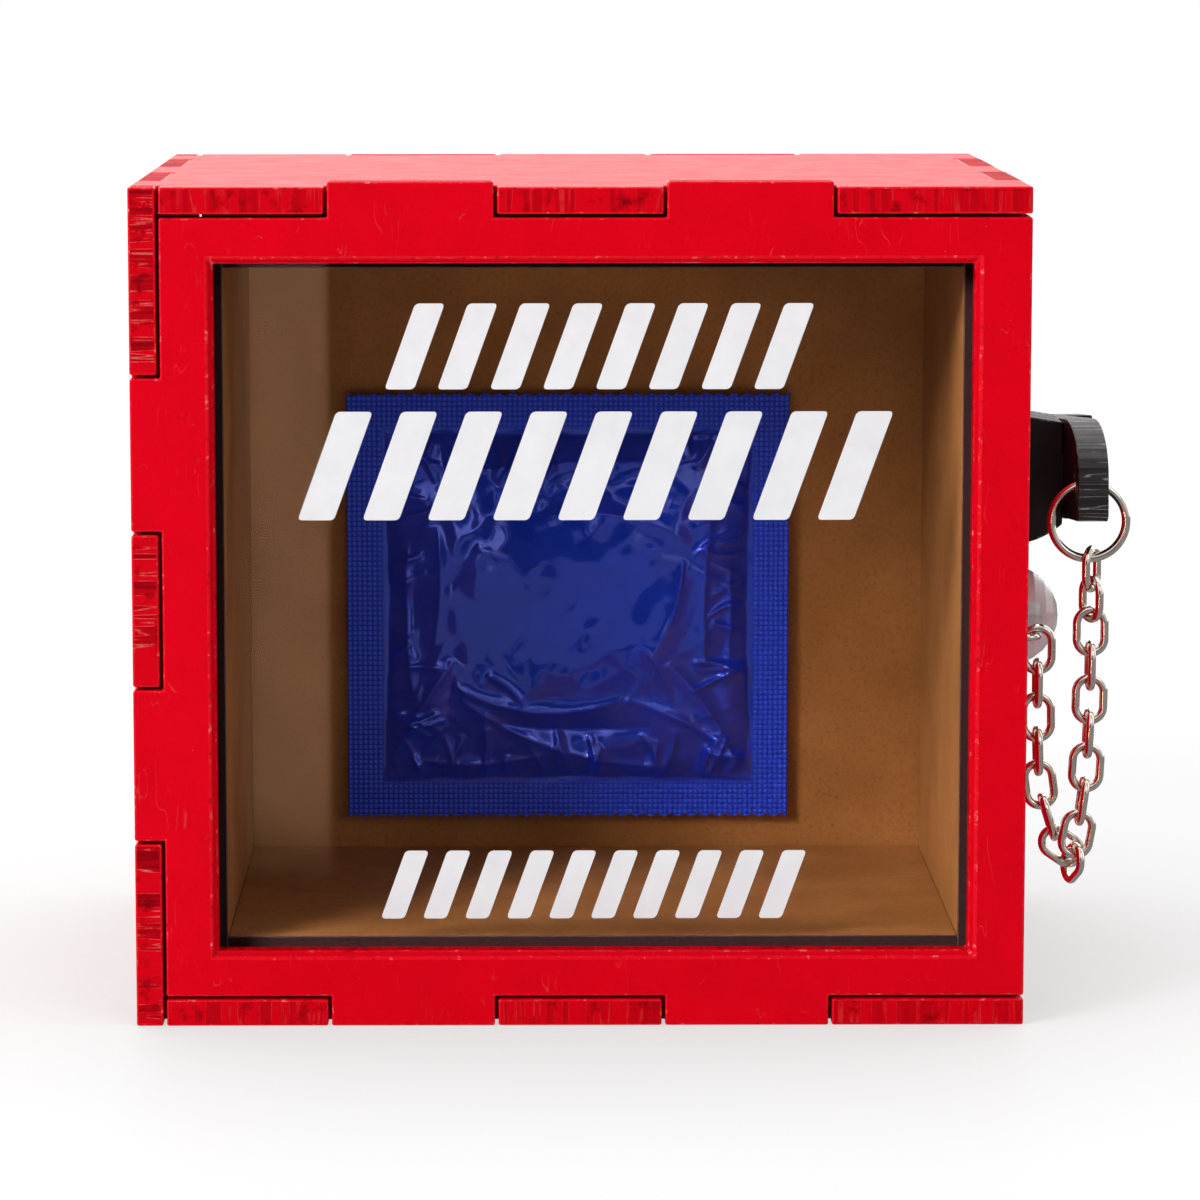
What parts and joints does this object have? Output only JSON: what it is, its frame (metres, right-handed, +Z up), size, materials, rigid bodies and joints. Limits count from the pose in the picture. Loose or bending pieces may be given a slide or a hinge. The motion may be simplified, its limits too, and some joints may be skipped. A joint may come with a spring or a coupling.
{
  "type": "break glass wall box",
  "caption": "Small finger-jointed box with a clear front pane to break, a sealed sachet on display inside, and a hammer held on a chain at its right side.",
  "frame": {"origin": "middle of the underside of the box, where it rests", "axes": "+X to the right as seen from the front, +Y from the front to the back, +Z up"},
  "size_m": [0.1139, 0.075, 0.0951],
  "materials": {
    "painted_mdf": "satin red paint on medium-density fibreboard",
    "raw_mdf": "raw brown fibreboard, laser-cut",
    "black_mdf": "satin black paint on fibreboard",
    "clear_pane": "clear and glossy",
    "blue_foil": "glossy blue laminated foil",
    "foam_tape": "matte foam tape",
    "nickel_wire": "nickel-plated wire",
    "clear_acrylic": "clear polished acrylic"
  },
  "bodies": {
    "box": {"front_frame": "painted_mdf", "back_panel": "painted_mdf", "top_panel": "painted_mdf", "bottom_panel": "painted_mdf", "left_panel": "painted_mdf", "right_panel": "painted_mdf", "glass_pane": "clear_pane", "tray_left_board": "raw_mdf", "tray_right_board": "raw_mdf", "tray_top_board": "raw_mdf", "tray_bottom_board": "raw_mdf", "tray_back_board": "raw_mdf", "tray_rails": "raw_mdf", "tray_rear_blocks": "raw_mdf", "sticky_pad": "foam_tape", "foil_sachet": "blue_foil", "arm_front_layer": "black_mdf", "arm_middle_layer": "black_mdf", "arm_rear_layer": "black_mdf", "screw_eye": "nickel_wire", "clear_knob": "clear_acrylic", "knob_stud": "nickel_wire"},
    "hammer": {"hammer_body": "black_mdf", "hammer_inner_cheek": "black_mdf", "hammer_outer_cheek": "black_mdf"},
    "ring_chain": {"split_ring": "nickel_wire", "chain_twist_links": "nickel_wire", "chain_ring_side_links": "nickel_wire", "chain_bottom_link": "nickel_wire"},
    "eye_chain": {"chain_eye_side_links": "nickel_wire"}
  },
  "joints": [
    {"name": "hammer_pull", "type": "slide", "parent": "box", "child": "hammer", "axis": [1, 0, 0], "range_m": [0, 0.012]},
    {"name": "ring_swing", "type": "hinge", "parent": "hammer", "child": "ring_chain", "pos_m": [0.05865, -0.0205, 0.05512], "axis": [0, 1, 0], "range_deg": [0, 11.1]},
    {"name": "eye_swing", "type": "hinge", "parent": "box", "child": "eye_chain", "pos_m": [0.0532, -0.0186, 0.0415], "axis": [0, 1, 0], "range_deg": [-9.8, 0]}
  ],
  "couplings": [
    {"joint": "ring_swing", "follows": "hammer_pull", "rad_per_m": 16.1},
    {"joint": "eye_swing", "follows": "hammer_pull", "rad_per_m": -14.24}
  ]
}
